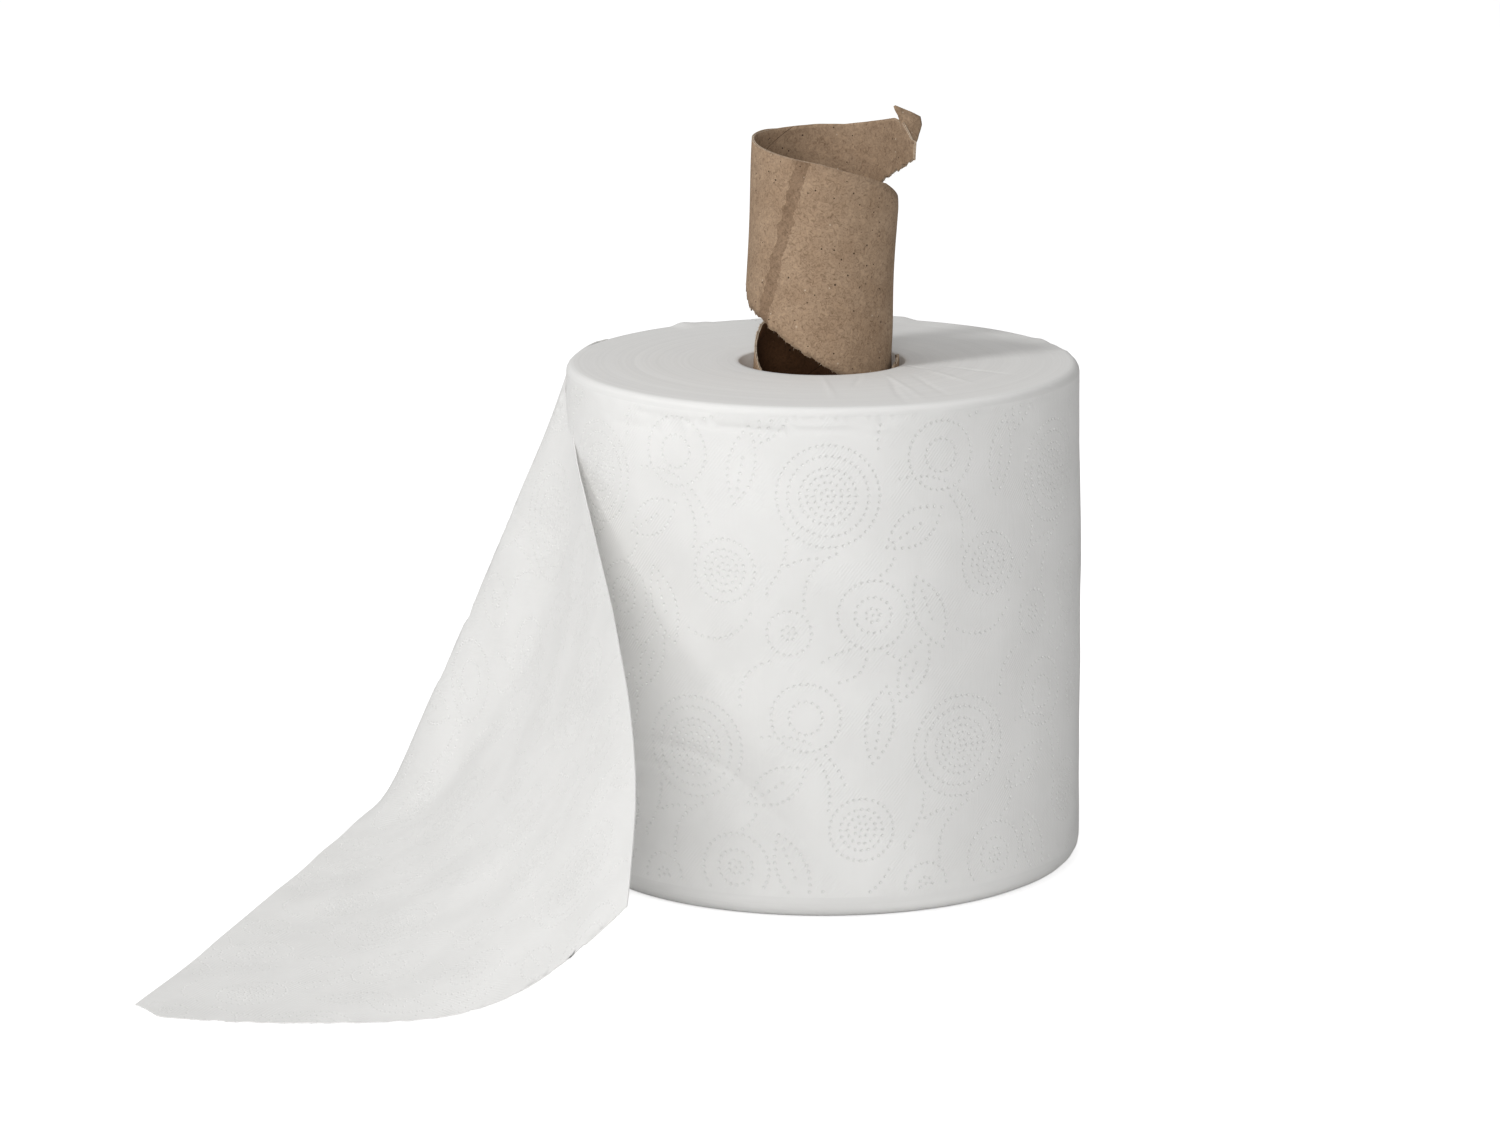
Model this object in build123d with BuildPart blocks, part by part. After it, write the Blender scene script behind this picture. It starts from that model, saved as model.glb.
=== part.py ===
"""Centrefeed paper roll standing on its end, with its loose outer turn and its torn cardboard core."""
from math import atan2, cos, degrees, hypot, radians, sin, sqrt
import os

from build123d import *

# The wound roll
roll_radius = 95.0
roll_height = 188.0
hole_radius = 30.8
bottom_rim_round = 9.0
top_rim_bevel = 2.5
hole_rim_bevel = 1.2

# The turns that show on both end faces
turn_pitch = 7.4
turn_groove_width = 0.7
turn_groove_depth = 0.6
turn_margin = 5.0

# The loose outer turn, one piece with the roll
sheet_thickness = 0.7
last_turn_gap = 0.4
last_turn_reach = 150.0
departure_angle = 107.0
swing_length = 145.0
rim_hug_length = 122.0
bend_lift = 9.7
lay_heading = 255.4
lay_length = 263.0
top_edge_run = 250.5
top_edge_heading = 276.9
top_corner_height = 49.2
top_edge_bow = 7.6
top_edge_crown = 3.5
top_edge_wave = 5.4
top_curl_angle = 12.0
swing_steps = 7
lay_steps = 12
foot_handle_share = 0.68
foot_handle_power = 0.55
top_handle_share = 0.3
bend_share = 0.2

# The cardboard core, torn along its spiral seam and drawn up
core_wall = 1.0
core_fit_clearance = 0.3
core_free_radius = 27.5
core_neck_low = 150.0
core_neck_high = 190.0
strip_lead = 94.9
strip_gap = 21.0
strip_start_angle = -4.0
strip_start_height = 262.0
strip_base_height = 1.0
strip_tip_height = 3.0
strip_step_angle = 20.0
ear_angle = 40.0
ear_flare = 5.9
flap_angle = 16.0
flap_heading = 30.0
flap_reach = 8.5
flap_rise = 6.4
flap_drop = 9.0
# Rise of the flat-cut first edge over the seam's start, as shares of its height, at shares of a turn
edge_turn_shares = [0.0, 0.035, 0.07, 0.21, 0.5, 0.74, 0.9, 0.96, 1.0]
edge_rise_shares = [0.03, 0.05, 0.054, 0.038, 0.034, 0.01, -0.022, -0.045, -0.08]

os.makedirs("parts", exist_ok=True)


def blend(value, low, high, low_result, high_result):
    """Straight-line change from one result to another, held level outside the two values."""
    share = min(max((value - low) / (high - low), 0), 1)
    return low_result + (high_result - low_result) * share


def table_value(share, shares, results):
    """Read a table of results at rising shares."""
    for index in range(len(shares) - 1):
        if share <= shares[index + 1]:
            return blend(share, shares[index], shares[index + 1], results[index], results[index + 1])
    return results[-1]


def around(radius, angle):
    """Point on a circle about the roll's axis, on the floor."""
    return Vector(radius * cos(radians(angle)), radius * sin(radians(angle)), 0)


def upright_plane(origin, heading):
    """Upright plane through a point, with its X along a heading on the floor and its Y up."""
    way = around(1, heading)
    return Plane(origin=(origin.X, origin.Y, 0), x_dir=way, z_dir=(way.Y, -way.X, 0))


# Turns on the end faces: half circles about two centres, which wind outwards by one pitch a turn
turn_inner_radius = hole_radius + turn_margin
turn_outer_radius = roll_radius - bottom_rim_round - turn_groove_width
half_turn_count = int(2 * (turn_outer_radius - turn_inner_radius) / turn_pitch)


def winding_line(first_radius):
    """Winding line from the hole towards the rim, returned as its two ends."""
    arcs = []
    for half_turn in range(half_turn_count):
        side = 1 - 2 * (half_turn % 2)
        centre = (side * turn_pitch / 4, 0)
        arcs.append(CenterArc(centre, first_radius + half_turn * turn_pitch / 2, 90 + side * 90, 180))
    return arcs[0] @ 0, arcs[-1] @ 1


with BuildPart() as winding_grooves:
    for face_height in (0, roll_height - turn_groove_depth):
        with BuildSketch(Plane.XY.offset(face_height)):
            with BuildLine():
                inner_start, inner_end = winding_line(turn_inner_radius)
                outer_start, outer_end = winding_line(turn_inner_radius + turn_groove_width)
                Line(inner_start, outer_start)
                Line(inner_end, outer_end)
            make_face()
        extrude(amount=turn_groove_depth)


# Loose outer turn: upright sections across the web, from its bottom edge to its top edge
hug_radius = roll_radius - sheet_thickness
departure_point = around(hug_radius, departure_angle)
swing_direction = around(1, departure_angle + 90)
bend_point = departure_point + swing_direction * swing_length
lay_direction = around(1, lay_heading)
hug_angle = degrees(rim_hug_length / hug_radius)
top_edge_direction = around(1, top_edge_heading)


def swing_edges(share):
    """Bottom and top edge where the web swings away from the roll, at its full width."""
    foot = departure_point + swing_direction * (swing_length * share) + Vector(0, 0, bend_lift * share**2)
    top = around(hug_radius, departure_angle + hug_angle * share)
    run = hypot(top.X - foot.X, top.Y - foot.Y)
    return foot, top + Vector(0, 0, foot.Z + sqrt(roll_height**2 - run**2))


def lay_edges(share):
    """Bottom and top edge where the web comes forward and lies down."""
    foot = bend_point + lay_direction * (lay_length * share) + Vector(0, 0, bend_lift * (1 - share)**3)
    swing_end = swing_edges(1)[1]
    bow = 4 * share * (1 - share)
    wave = 10 * share * (1 - share) * (share - 1 / 2) * top_edge_wave
    top = swing_end + top_edge_direction * (top_edge_run * share)
    drop = (swing_end.Z - top_corner_height) * share
    return foot, top + Vector(top_edge_bow * bow + wave, 0, top_edge_crown * bow + wave - drop)


def web_section(plane, low, high, low_angle, high_angle, low_handle, high_handle):
    """Closed section of the web on its plane, one curve from edge to edge and its thickness."""
    low_way = Vector(cos(radians(low_angle)), sin(radians(low_angle)))
    high_way = Vector(cos(radians(high_angle)), sin(radians(high_angle)))
    low_side = Vector(-low_way.Y, low_way.X) * sheet_thickness
    high_side = Vector(-high_way.Y, high_way.X) * sheet_thickness
    low_pull = low + low_way * low_handle
    high_pull = high - high_way * high_handle
    with BuildSketch(plane) as section:
        with BuildLine():
            Bezier(low, low_pull, high_pull, high)
            Line(high, high + high_side)
            Bezier(high + high_side, high_pull + high_side, low_pull + low_side, low + low_side)
            Line(low + low_side, low)
        make_face()
    return section.sketch


def start_section():
    """Section where the last turn leaves the roll, inside its rounded rims."""
    plane = upright_plane(departure_point, departure_angle + 180)
    low = Vector(0, bottom_rim_round)
    high = Vector(0, roll_height - top_rim_bevel)
    handle = (high.Y - low.Y) / 3
    return web_section(plane, low, high, 90, 90, handle, handle)


def hanging_section(foot, top):
    """Section where the web hangs straight from edge to edge."""
    run = hypot(top.X - foot.X, top.Y - foot.Y)
    plane = upright_plane(foot, degrees(atan2(top.Y - foot.Y, top.X - foot.X)))
    lean = degrees(atan2(top.Z - foot.Z, run))
    handle = roll_height / 3
    return web_section(plane, Vector(0, foot.Z), Vector(run, top.Z), lean, lean, handle, handle)


def lying_section(share):
    """Section where the web lies on the floor at its bottom edge and curls up to its top edge."""
    foot, top = lay_edges(share)
    run = hypot(top.X - foot.X, top.Y - foot.Y)
    plane = upright_plane(foot, degrees(atan2(top.Y - foot.Y, top.X - foot.X)))
    lean = degrees(atan2(top.Z - foot.Z, run))
    low_angle = blend(share, 0, bend_share, lean, 0)
    low_handle = foot_handle_share * roll_height * share**foot_handle_power
    high_angle = lean + blend(share, 0, bend_share, 0, top_curl_angle)
    high_handle = roll_height * top_handle_share
    low = Vector(0, foot.Z)
    high = Vector(run, top.Z)
    return web_section(plane, low, high, low_angle, high_angle, low_handle, high_handle)


with BuildPart() as paper_roll:
    with BuildSketch(Plane.XZ) as roll_profile:
        with BuildLine():
            Polyline(
                (hole_radius, 0),
                (roll_radius, 0),
                (roll_radius, roll_height),
                (hole_radius, roll_height),
                close=True,
            )
        make_face()
        chamfer(roll_profile.vertices().group_by(Axis.X)[0], hole_rim_bevel)
        fillet(roll_profile.vertices().group_by(Axis.X)[-1].sort_by(Axis.Y)[0], bottom_rim_round)
        chamfer(roll_profile.vertices().group_by(Axis.X)[-1].sort_by(Axis.Y)[-1], top_rim_bevel)
    revolve(axis=Axis.Z)
    add(winding_grooves.part, mode=Mode.SUBTRACT)

    # The turn below the one that leaves stands in by the sheet and a small gap
    step_depth = sheet_thickness + last_turn_gap
    with BuildSketch() as last_turn_step:
        with BuildLine():
            step_start = around(roll_radius - step_depth, departure_angle)
            step_middle = around(roll_radius - step_depth / 2, departure_angle + last_turn_reach / 2)
            step_end = around(roll_radius + last_turn_gap, departure_angle + last_turn_reach)
            rim_start = around(roll_radius + step_depth, departure_angle)
            rim_middle = around(roll_radius + step_depth, departure_angle + last_turn_reach / 2)
            rim_end = around(roll_radius + step_depth, departure_angle + last_turn_reach)
            ThreePointArc(step_start, step_middle, step_end)
            Line(step_end, rim_end)
            ThreePointArc(rim_end, rim_middle, rim_start)
            Line(rim_start, step_start)
        make_face()
    extrude(amount=roll_height, mode=Mode.SUBTRACT)

    web_sections = [start_section()]
    web_sections += [hanging_section(*swing_edges(step / swing_steps)) for step in range(1, swing_steps)]
    web_sections += [lying_section(step / lay_steps) for step in range(lay_steps + 1)]
    loft(web_sections)

paper_roll.part.label = "paper_roll"
export_step(paper_roll.part, "parts/paper_roll.step")


# Torn core: sections of the spiral strip, each in a plane through the roll's axis
core_outer_radius = hole_radius - core_fit_clearance


def seam_height(angle):
    """Height of the torn lower edge, which falls by one lead a turn."""
    return strip_start_height - strip_lead * angle / 360


def strip_top(angle):
    """Height of the upper edge: the flat-cut end for one turn, then the other side of the tear."""
    if angle < 360:
        return strip_start_height * (1 + table_value(angle / 360, edge_turn_shares, edge_rise_shares))
    return seam_height(angle - 360) - strip_gap


def strip_radius(height, angle):
    """Outer radius of the strip, snug in the hole, narrower above it and flared at the ear."""
    wound = blend(height, core_neck_low, core_neck_high, core_outer_radius, core_free_radius)
    flare_share = 1 - blend(angle, strip_start_angle, ear_angle, 0, 1)
    return wound + ear_flare * flare_share**2


def strip_section(angle):
    """Section of the strip at an angle about the axis."""
    low = max(seam_height(angle), strip_base_height)
    high = strip_top(angle)
    low_radius = strip_radius(low, angle)
    high_radius = strip_radius(high, angle)
    with BuildSketch(upright_plane(Vector(0, 0, 0), angle)) as section:
        with BuildLine():
            Polyline(
                (low_radius - core_wall, low),
                (low_radius, low),
                (high_radius, high),
                (high_radius - core_wall, high),
                close=True,
            )
        make_face()
    return section.sketch


strip_drop = strip_start_height - strip_gap - strip_base_height - strip_tip_height
strip_end_angle = 360 + 360 * strip_drop / strip_lead
strip_steps = round((strip_end_angle - strip_start_angle) / strip_step_angle)
strip_turn = strip_end_angle - strip_start_angle
strip_angles = [strip_start_angle + strip_turn * step / strip_steps for step in range(strip_steps + 1)]

with BuildPart() as cardboard_core:
    loft([strip_section(angle) for angle in strip_angles])

    # The folded corner of the strip's upper end
    flap_edge = strip_top(flap_angle)
    flap_root = around(strip_radius(flap_edge, flap_angle) - core_wall / 2, flap_angle)
    with BuildSketch(upright_plane(flap_root, flap_heading)):
        with BuildLine():
            Polyline(
                (0, flap_edge - flap_drop),
                (0.75 * flap_reach, flap_edge - 0.9 * flap_drop),
                (flap_reach, flap_edge),
                (0.88 * flap_reach, flap_edge + 0.27 * flap_rise),
                (-0.46 * flap_reach, flap_edge + flap_rise),
                (-0.06 * flap_reach, flap_edge),
                close=True,
            )
        make_face()
    extrude(amount=core_wall / 2, both=True)

cardboard_core.part.label = "cardboard_core"
export_step(cardboard_core.part, "parts/cardboard_core.step")
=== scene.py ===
"""Dresses a centrefeed paper roll: embossed paper, its loose outer turn, and its torn cardboard core."""
from math import cos, pi, radians, sin, tau

import bmesh
import bpy
import numpy as np
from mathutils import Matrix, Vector
from mathutils.geometry import delaunay_2d_cdt


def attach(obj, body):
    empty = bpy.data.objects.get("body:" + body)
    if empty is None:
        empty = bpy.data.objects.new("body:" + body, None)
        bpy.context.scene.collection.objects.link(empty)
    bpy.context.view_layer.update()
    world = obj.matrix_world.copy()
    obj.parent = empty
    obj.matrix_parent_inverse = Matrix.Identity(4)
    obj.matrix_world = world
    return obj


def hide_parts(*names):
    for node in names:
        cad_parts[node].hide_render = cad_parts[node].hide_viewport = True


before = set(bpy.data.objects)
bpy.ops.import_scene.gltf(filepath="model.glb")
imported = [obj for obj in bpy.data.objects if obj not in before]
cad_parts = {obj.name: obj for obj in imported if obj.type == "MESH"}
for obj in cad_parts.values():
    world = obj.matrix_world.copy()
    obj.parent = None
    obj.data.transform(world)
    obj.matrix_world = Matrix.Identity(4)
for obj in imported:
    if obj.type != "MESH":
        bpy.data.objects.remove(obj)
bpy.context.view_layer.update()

mm = 0.001

# The wound roll; waves, here and below, are given as height, wavelength and seed
roll_radius = 95 * mm
roll_height = 188 * mm
hole_radius = 30.6 * mm
bottom_rim_round = 9 * mm
top_rim_round = 3.4 * mm
hole_rim_round = 0.5 * mm
hole_plain_width = 3 * mm
roll_girth = tau * roll_radius
wall_low = bottom_rim_round
wall_high = roll_height - top_rim_round
roll_columns = 360
wall_grid = 4.5 * mm
wall_edge_step = 4 * mm
crease_grid = 1.8 * mm
low_swell = 1.3 * mm
low_swell_heights = (175 * mm, 120 * mm)
low_swell_start = (90, 150)
low_swell_end = (350, 290)
wall_slack = 0.1 * mm
wall_waves = [(0.22 * mm, 70 * mm, 41), (0.06 * mm, 24 * mm, 42)]
rim_crease_area = ((97, 170 * mm), (232, wall_high))
low_crease_area = ((106, 18 * mm), (168, 66 * mm))
winding_pitch = 0.9 * mm
winding_unevenness = 0.07 * mm
winding_wavelength = 2.7

# The worn top rim behind, with its spans as turns where it starts, is full, fades and is gone
back_rim_unevenness = 0.8 * mm
back_rim_spans = [(255, 275, 344, 358), (2, 16, 50, 64)]
back_rim_radii = (82 * mm, 92 * mm)
rim_waves = [(1, 31 * mm, 8), (0.4, 9 * mm, 9)]

# The loose outer turn
web_thickness = 0.4 * mm
web_inset = 0.2 * mm
step_depth = 1.1 * mm
step_reach = 150.0
step_width = 9 * mm
step_fade_after = 40 * mm
step_fade_before = 30 * mm
departure_angle = 107.0
swing_length = 145 * mm
rim_hug_length = 122 * mm
bend_lift = 9.7 * mm
bend_softness = 6 * mm
bend_fall_power = 1.6
back_lift = 7.5 * mm
back_lift_start = -4 * mm
held_length = 30 * mm
under_tuck = 0.7 * mm
lay_heading = 254.6
lay_length = 270 * mm
top_edge_run = 250.5 * mm
top_edge_heading = 276.9
top_corner_height = 49.2 * mm
top_edge_bow = 7.6 * mm
top_edge_crown = 3.5 * mm
top_edge_wave = 5.4 * mm
top_curl_angle = 30.0
foot_handle_share = 0.68
foot_handle_power = 0.55
top_handle_share = 0.3
bend_share = 0.18
corner_round = 15 * mm
corner_cut = 11 * mm
corner_length = 28 * mm
cut_waves = [(0.5 * mm, 11 * mm, 3), (0.22 * mm, 2.6 * mm, 4)]
cut_waves_length = 8 * mm
edge_waver = (0.35 * mm, 40 * mm, 6)
edge_waver_start = (30 * mm, 120 * mm)
web_waves = (0.3 * mm, 65 * mm, 11)
web_ribs = (0.04 * mm, 15 * mm, 12)
web_rib_stretch = 0.35
web_waves_start = (20 * mm, 70 * mm)
rim_drop = 0.9 * mm
rim_rise = 1.2 * mm
rim_rise_start = (60 * mm, 110 * mm)
floor_gap = 0.3 * mm
web_length = swing_length + lay_length
web_overlap = 8 * mm
web_grid = 4.5 * mm
web_edge_steps = (2 * mm, 1.5 * mm)

# The embossing
dot_pitch = 2.35 * mm
dot_radius = 0.92 * mm
dot_depth = 0.52 * mm
dot_gap = 0.78 * dot_pitch
ring_gap = 1.08 * dot_pitch
dot_rings = [(0.0, 1), (0.45, 4), (1.0, 5)]
tile_count_round = 6
tile_length = roll_girth / tile_count_round
tile_height = roll_height / 2

# Creases of the wall as turn in degrees and height, and of the top face as x and y
wall_creases = [
    ([(100, 187.2), (113, 185.9), (121, 185.0), (128, 184.6), (138, 185.2)], 0.3, 0.8),
    ([(112, 183.2), (124, 180.8), (139, 180.2), (156, 179.5), (167, 179.9), (180, 182.4)], 0.55, 1.3),
    ([(146, 185.6), (155, 183.8), (162, 183.4), (169, 184.5), (178, 183.6), (190, 185.4)], 0.45, 0.9),
    ([(104, 178.0), (113, 176.4), (126, 176.9), (136, 175.6)], 0.3, 1.6),
    ([(163, 176.8), (176, 177.9), (190, 177.0)], 0.25, 1.5),
    ([(196, 183.6), (210, 182.7), (226, 183.7)], 0.3, 1.0),
    ([(110, 58.8), (126, 61.5), (134, 60.4), (142, 55.0), (148, 47.7), (155, 36.5), (163, 22.0)], 0.5, 2.2),
    ([(110, 54.5), (125, 53.0), (134, 51.0)], 0.3, 1.8),
]
top_creases = [
    ([(24.1, -5.7), (32.9, -12.7), (39.2, -18.9)], 0.3, 0.7),
    ([(22.6, -28.0), (31.0, -57.1), (37.8, -84.0)], -0.3, 0.8),
    ([(32.6, -28.0), (39.4, -52.0), (46.2, -72.8)], 0.3, 0.8),
    ([(38.1, -18.7), (54.7, -47.1)], -0.3, 0.8),
    ([(14.4, -30.0), (11.2, -53.8)], 0.35, 0.7),
    ([(0.0, -31.9), (4.9, -79.3)], -0.3, 0.8),
    ([(24.4, -34.9), (27.1, -67.1), (31.0, -88.0)], 0.4, 0.7),
    ([(44.0, -12.0), (70.0, -30.0)], 0.3, 0.9),
]

# The cardboard core; the seeds of its edge waves are added to the ply's own
board_ply = 0.5 * mm
board_body = 0.86 * board_ply
core_outer_radius = 30.2 * mm
core_free_radius = 27.4 * mm
core_neck_low = 150 * mm
core_neck_high = 190 * mm
upper_turns_end = (600, 660)
tuck_turns = (400, 460)
core_lean = 0.042
core_shift = -1.8 * mm
tuck_depth = 4.0 * mm
strip_lead = 94.9 * mm
strip_gap = 21 * mm
strip_start_angle = -4.0
strip_start_height = 262 * mm
strip_base_height = 1 * mm
strip_tip_height = 3 * mm
strip_column_angle = 2.0
seam_end_angle = 330.0
gap_angles = (360.0, 532.0)
strip_map_angle = 800.0
strip_rows = 26
tear_waves = [(0.45 * mm, 9, 0), (0.35 * mm, 4.3, 1)]
tear_peak_angle = 196
tear_peak_reach = (30, 5)
tear_peak_gain = 1.2
torn_top_start = 356
torn_top_wave = (0.6 * mm, 7, 2)
cut_top_wave = (0.25 * mm, 60, 3)
dents = (0.3 * mm, 38, 51)
dent_heights = (192 * mm, 210 * mm)
ear_angle = 40.0
ear_flare = 5.9 * mm
edge_turn_shares = [0.0, 0.035, 0.07, 0.21, 0.5, 0.74, 0.9, 0.96, 1.0]
edge_rise_shares = [0.03, 0.05, 0.054, 0.038, 0.034, 0.01, -0.022, -0.045, -0.08]
seam_lift_turns = [150, 183, 200, 222, 285, 330]
seam_lift_heights = [0, 2.6, 0.8, 2.4, 1.0, 0]
tongue_turns = [668, 684, 700, 716, 730, 742]
tongue_heights = [0, 180, 187.4, 190.2, 189.0, 0]

# Specks of the board as scale, size, share left out and colour
board_specks = [(420.0, 0.16, 0.62, (0.07, 0.045, 0.03)), (330.0, 0.12, 0.8, (0.5, 0.4, 0.3))]

# What the fibre tree takes, and the kind of each input
fibre_inputs = {
    "Line": "Geometry", "Fibre spacing": "Float", "Fibre length": "Float", "Fibre radius": "Float",
    "Fibre spread": "Float", "Fibre way": "Vector", "Fibre seed": "Int", "Fibre material": "Material"}

# The core's folded corner, as way along its heading and height
flap_heading = 30.0
flap_foot = (27.6, 7.4)
fold_rise = 85 * mm
fold_thickness = 0.8 * mm
fold_bulge = 1.1 * mm
flap_left = [(-0.6, 266.0), (-0.4, 272.0), (-0.9, 275.8), (-3.6, 281.4)]
flap_right = [(6.2, 267.6), (8.3, 273.8), (7.6, 277.0), (-3.2, 281.7)]

# Dark and pale tones of the finishes
paper_tones = [(0.785, 0.78, 0.765), (0.82, 0.815, 0.80)]
wound_edge_tones = [(0.775, 0.77, 0.755), (0.815, 0.81, 0.795)]
board_tones = [(0.305, 0.207, 0.133), (0.375, 0.265, 0.177)]
torn_tones = [(0.36, 0.27, 0.19), (0.62, 0.52, 0.41)]
# Painted shade for the lower turns of the inner ply, deep in the tube
inside_painted_shade = (0.3, 0.2, 0.13)
hatch_angle = 38

# The studio
camera_place = (0, -2.068, 0.566)
camera_pitch = 12.4
camera_lens = 136.5
camera_shift = -0.048
ambient_strength = 0.33
key_energy = 19.0
key_size = 0.45
key_place = (-1.5, -0.97, 1.7)
key_share_through_web = 0.5
fill_energy = 32.0
fill_size = 1.2
fill_place = (-0.25, -3.0, 0.9)
overhead_energy = 7.0
overhead_size = 1.6
overhead_place = (-0.2, 0.1, 2.3)
floor_glow = 0.65
floor_side = 14
floor_tone = 0.9
sensor_width = 36
lamp_aim = (0, 0, 0.1)


def smooth_step(value, low, high):
    """Soft change from 0 to 1 between two values."""
    share = np.clip((value - low) / (high - low), 0, 1)
    return share * share * (3 - 2 * share)


def ripple(first, second, wavelength, seed):
    """Soft random relief of about -1 to 1 over two coordinates."""
    draw = np.random.default_rng(seed)
    total = np.zeros_like(np.asarray(first, float))
    for _ in range(7):
        angle = draw.uniform(0, tau)
        length = wavelength * draw.uniform(0.6, 1.7)
        phase = draw.uniform(0, tau)
        total = total + np.sin((first * cos(angle) + second * sin(angle)) * tau / length + phase)
    return total / 3.2


def waves(first, second, parts, seed=0):
    """Sum of ripples, each with its height, wavelength and own seed."""
    return sum(height * ripple(first, second, wavelength, seed + own) for height, wavelength, own in parts)


def ways_at(angle):
    """Unit vectors of a plane at angles in radians."""
    return np.stack([np.cos(angle), np.sin(angle)], 1)


def crease_relief(first, second, creases):
    """Depth of soft creases that follow lines over two coordinates, in metres."""
    place = np.stack([first, second], 1)
    total = np.zeros(len(place))
    for line, depth, width in creases:
        line = np.array(line)
        runs = np.hypot(*np.diff(line, axis=0).T)
        nearest = np.full(len(place), 1.0)
        share = np.zeros(len(place))
        before = 0.0
        for start, end, run in zip(line[:-1], line[1:], runs):
            part = np.clip((place - start) @ (end - start) / run**2, 0, 1)
            distance = np.hypot(*(place - start - part[:, None] * (end - start)).T)
            closer = distance < nearest
            nearest = np.where(closer, distance, nearest)
            share = np.where(closer, (before + part * run) / runs.sum(), share)
            before += run
        total += depth * mm * np.exp(-(nearest / (width * mm))**2) * np.sqrt(np.sin(pi * share).clip(0))
    return total


def linked_object(name, data):
    """New object in the scene."""
    made = bpy.data.objects.new(name, data)
    bpy.context.scene.collection.objects.link(made)
    return made


def mesh_piece(name, points, faces, materials):
    """New object of a mesh, with its place in the mesh."""
    mesh = bpy.data.meshes.new(name)
    mesh.from_pydata([tuple(p) for p in points], [], [tuple(f) for f in faces])
    mesh.polygons.foreach_set("use_smooth", [True] * len(mesh.polygons))
    for material in materials:
        mesh.materials.append(material)
    mesh.update()
    return linked_object(name, mesh)


def set_uv(piece, name, coordinates):
    """UV map from one pair of coordinates for each vertex."""
    mesh = piece.data
    layer = mesh.uv_layers.new(name=name)
    corners = np.zeros(len(mesh.loops), int)
    mesh.loops.foreach_get("vertex_index", corners)
    layer.data.foreach_set("uv", np.asarray(coordinates, float)[corners].ravel())


def grid_faces(columns, rows, first=0):
    """Quads of a grid whose points run row by row within each column."""
    faces = []
    for column in range(columns - 1):
        for row in range(rows - 1):
            corner = first + column * rows + row
            faces.append((corner, corner + rows, corner + rows + 1, corner + 1))
    return faces


def own_piece(piece, node):
    """Hides the imported part that a finished piece stands for and hangs the piece on the root body."""
    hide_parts(node)
    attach(piece, "root")


# Embossing: one tile of dotted motifs, repeated along the web and stepped from row to row

def ring_dots(centre, radius):
    """Dots on a circle."""
    count = max(6, round(tau * radius / dot_pitch))
    return np.array(centre) + radius * ways_at(np.arange(count) * tau / count)


def rosette_dots(centre, ring_count):
    """A dot with rings of dots about it."""
    rings = [ring_dots(centre, ring * ring_gap) for ring in range(1, ring_count + 1)]
    return np.concatenate([np.array([centre])] + rings)


def arc_dots(start, end, bulge):
    """Dots along a bowed line between two points."""
    start, end = np.array(start), np.array(end)
    run = end - start
    length = np.hypot(*run)
    count = max(3, round(length * (1 + (bulge / length) ** 2 * 8 / 3) / dot_pitch))
    share = np.linspace(0, 1, count)[:, None]
    side = np.array([-run[1], run[0]]) / length
    return start + run * share + side * bulge * 4 * share * (1 - share)


def leaf_dots(start, end, width):
    """Dots round a leaf and along its rib."""
    rib = arc_dots(start, np.array(start) * 0.4 + np.array(end) * 0.6, 0.0)
    return np.concatenate([arc_dots(start, end, width / 2), arc_dots(end, start, width / 2), rib])


def tile_dots():
    """Rosettes, rings, leaves and stems of one tile, placed by shares of its size."""
    def at(place):
        return place[0] * tile_length, place[1] * tile_height
    parts = [make(at(centre), size) for make, centre, size in (
        (rosette_dots, (0.24, 0.66), 4),
        (ring_dots, (0.24, 0.66), 14.5 * mm), (ring_dots, (0.24, 0.66), 18.5 * mm),
        (ring_dots, (0.66, 0.8), 12.5 * mm), (ring_dots, (0.66, 0.8), 6 * mm),
        (rosette_dots, (0.86, 0.36), 3), (ring_dots, (0.86, 0.36), 11.5 * mm),
        (ring_dots, (0.4, 0.2), 12.5 * mm), (rosette_dots, (0.4, 0.2), 1), (ring_dots, (0.4, 0.2), 6.5 * mm),
        (ring_dots, (0.1, 0.13), 8 * mm), (rosette_dots, (0.1, 0.13), 1))]
    parts += [make(at(start), at(end), size * mm) for make, start, end, size in (
        (leaf_dots, (0.45, 0.46), (0.66, 0.6), 12), (leaf_dots, (0.56, 0.34), (0.66, 0.06), 11),
        (leaf_dots, (0.0, 0.86), (0.1, 1.1), 10), (leaf_dots, (0.9, 0.62), (0.95, 0.92), 10),
        (arc_dots, (0.4, 0.34), (0.47, 0.5), -4), (arc_dots, (0.68, 0.66), (0.74, 0.44), 3),
        (arc_dots, (0.16, 0.2), (0.27, 0.44), 5), (arc_dots, (0.42, 0.84), (0.53, 1.02), 4),
        (arc_dots, (0.5, 0.72), (0.8, 0.54), 7), (arc_dots, (0.02, 0.3), (0.06, 0.62), -5),
        (arc_dots, (0.72, 0.12), (0.96, 0.2), -6), (arc_dots, (0.22, 0.02), (0.52, 0.0), 6),
        (arc_dots, (0.78, 0.94), (0.88, 1.06), -3), (arc_dots, (0.02, 0.28), (0.2, 0.42), 4))]
    return np.concatenate(parts)


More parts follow.
